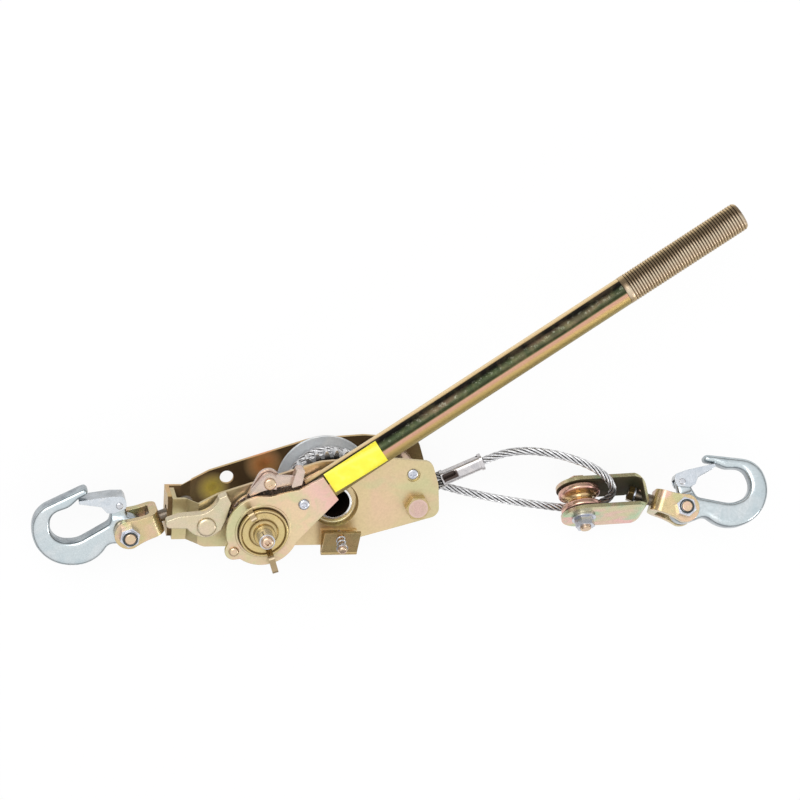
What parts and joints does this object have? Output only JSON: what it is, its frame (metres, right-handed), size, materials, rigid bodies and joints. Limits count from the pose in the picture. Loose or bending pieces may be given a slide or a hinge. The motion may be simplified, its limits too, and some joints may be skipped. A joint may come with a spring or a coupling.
{
  "type": "come along winch",
  "caption": "Hand ratchet wire rope puller: twin side plates carry a geared drum and a long pivoted handle; rope runs round a pulley block; a latched swivel hook at each end.",
  "frame": {"origin": "on the floor plane under the centre of the bounding box, with the winch lying on its back", "axes": "+X runs from the anchor hook to the pull hook, +Y across the side plates toward the handle's tip, +Z out of the front side plate on the handle's side"},
  "size_m": [0.5432, 0.279, 0.0984],
  "materials": {
    "ferrule": "polished, pressed",
    "grip": "rolled ribs, yellow zinc chromate",
    "rope_wire": "galvanised stranded wire",
    "steel": "machined steel",
    "sticker": "plain yellow film",
    "zinc_gold": "yellow zinc chromate over steel, iridescent",
    "zinc_silver": "bright zinc plate"
  },
  "bodies": {
    "frame": {"side_plate_front": "zinc_gold", "side_plate_rear": "zinc_gold", "rope_anchor_bolt": "zinc_gold", "rope_anchor_nut": "zinc_silver", "spacer_bolt": "zinc_gold", "spacer_nut": "zinc_silver", "spacer_tube": "zinc_gold", "guard_tab": "zinc_gold", "guard_screw": "zinc_silver", "guard_washer": "zinc_silver", "guard_spring": "steel", "holding_pawl_pin": "steel", "holding_pawl_spring": "steel", "rope_eye": "rope_wire", "rope_ferrule": "ferrule", "rope_run": "rope_wire"},
    "drum": {"drum_tube": "zinc_silver", "drum_gear": "zinc_silver", "drum_flange": "zinc_silver", "drum_core": "zinc_silver", "rope_winding": "rope_wire"},
    "pinion": {"pinion_gear": "zinc_silver", "pinion_shaft": "steel", "shaft_clip": "steel", "ratchet_wheel": "zinc_silver", "wing_knob": "zinc_gold", "knob_screw": "zinc_gold"},
    "handle": {"handle_plate_rear": "zinc_gold", "handle_plate_front": "zinc_gold", "handle_tube": "zinc_gold", "handle_grip": "grip", "neck_rivet": "zinc_silver", "ear_rivet": "zinc_gold", "handle_sticker": "sticker", "drive_pawl_pin": "steel", "drive_pawl_washer": "steel"},
    "drive_pawl": {"drive_pawl": "zinc_gold"},
    "holding_pawl": {"holding_pawl": "zinc_gold"},
    "anchor_clevis": {"anchor_clevis": "zinc_gold", "anchor_swivel": "steel", "anchor_clevis_bolt": "zinc_gold", "anchor_clevis_nut": "zinc_silver"},
    "anchor_hook": {"anchor_hook": "zinc_silver", "anchor_latch_pin": "steel"},
    "anchor_latch": {"anchor_latch": "zinc_silver"},
    "block": {"block_bracket": "zinc_gold", "sheave_axle": "zinc_gold", "sheave_axle_washer": "zinc_silver", "sheave_axle_nut": "zinc_silver"},
    "sheave": {"sheave": "zinc_gold", "sheave_bush": "steel"},
    "pull_clevis": {"pull_clevis": "zinc_gold", "pull_swivel": "steel", "pull_swivel_washer": "zinc_silver", "pull_swivel_nut": "zinc_silver", "pull_clevis_bolt": "zinc_gold", "pull_clevis_nut": "zinc_silver"},
    "pull_hook": {"pull_hook": "zinc_silver", "pull_latch_pin": "steel"},
    "pull_latch": {"pull_latch": "zinc_silver"}
  },
  "joints": [
    {"name": "drum_turn", "type": "hinge", "parent": "frame", "child": "drum", "pos_m": [-0.06045, -0.0867, 0.0333], "axis": [0, 0, 1], "range_deg": [-45, 110]},
    {"name": "pinion_turn", "type": "hinge", "parent": "frame", "child": "pinion", "pos_m": [-0.11416, -0.09913, 0.0333], "axis": [0, 0, 1], "range_deg": [-190, 78]},
    {"name": "block_travel", "type": "slide", "parent": "frame", "child": "block", "axis": [1, 0, 0], "range_m": [-0.0252, 0.0103], "deforming": ["rope_run"]},
    {"name": "sheave_turn", "type": "hinge", "parent": "block", "child": "sheave", "pos_m": [0.13005, -0.0965, 0.0333], "axis": [0.0357, -0.6811, 0.7314], "range_deg": [-116, 48]},
    {"name": "handle_swing", "type": "hinge", "parent": "frame", "child": "handle", "pos_m": [-0.11416, -0.09913, 0.06805], "axis": [0, 0, 1], "range_deg": [-19, 18]},
    {"name": "drive_pawl_turn", "type": "hinge", "parent": "handle", "child": "drive_pawl", "pos_m": [-0.11021, -0.06573, 0.0678], "axis": [0, 0, 1], "range_deg": [-12, 0], "stiffness_Nm_per_rad": 0.02, "springref_deg": 11.46},
    {"name": "holding_pawl_turn", "type": "hinge", "parent": "frame", "child": "holding_pawl", "pos_m": [-0.15295, -0.098, 0.0658], "axis": [0, 0, 1], "range_deg": [0, 25], "stiffness_Nm_per_rad": 0.02, "springref_deg": -11.46},
    {"name": "anchor_swivel_turn", "type": "hinge", "parent": "frame", "child": "anchor_clevis", "pos_m": [-0.17445, -0.1017, 0.0333], "axis": [-0.9336, -0.3584, 0], "range_deg": [-90, 90]},
    {"name": "anchor_hook_swing", "type": "hinge", "parent": "anchor_clevis", "child": "anchor_hook", "pos_m": [-0.20386, -0.11299, 0.0333], "axis": [0, 0, 1], "range_deg": [-24, 60]},
    {"name": "anchor_latch_turn", "type": "hinge", "parent": "anchor_hook", "child": "anchor_latch", "pos_m": [-0.21086, -0.09349, 0.0333], "axis": [0, 0, 1], "range_deg": [0, 35], "stiffness_Nm_per_rad": 0.02, "springref_deg": -17.19},
    {"name": "pull_swivel_turn", "type": "hinge", "parent": "block", "child": "pull_clevis", "pos_m": [0.17748, -0.09401, 0.0333], "axis": [0.9291, -0.2168, 0.2995], "range_deg": [-90, 90]},
    {"name": "pull_hook_swing", "type": "hinge", "parent": "pull_clevis", "child": "pull_hook", "pos_m": [0.20675, -0.10085, 0.04274], "axis": [-0.1578, 0.5, 0.8515], "range_deg": [-69, 6]},
    {"name": "pull_latch_turn", "type": "hinge", "parent": "pull_hook", "child": "pull_latch", "pos_m": [0.20712, -0.08295, 0.0323], "axis": [0.1578, -0.5, -0.8515], "range_deg": [0, 35], "stiffness_Nm_per_rad": 0.02, "springref_deg": -17.19}
  ],
  "couplings": [
    {"joint": "pinion_turn", "follows": "drum_turn", "ratio": -1.7222},
    {"joint": "block_travel", "follows": "drum_turn", "m_per_rad": -0.0131},
    {"joint": "sheave_turn", "follows": "drum_turn", "ratio": -1.048}
  ]
}
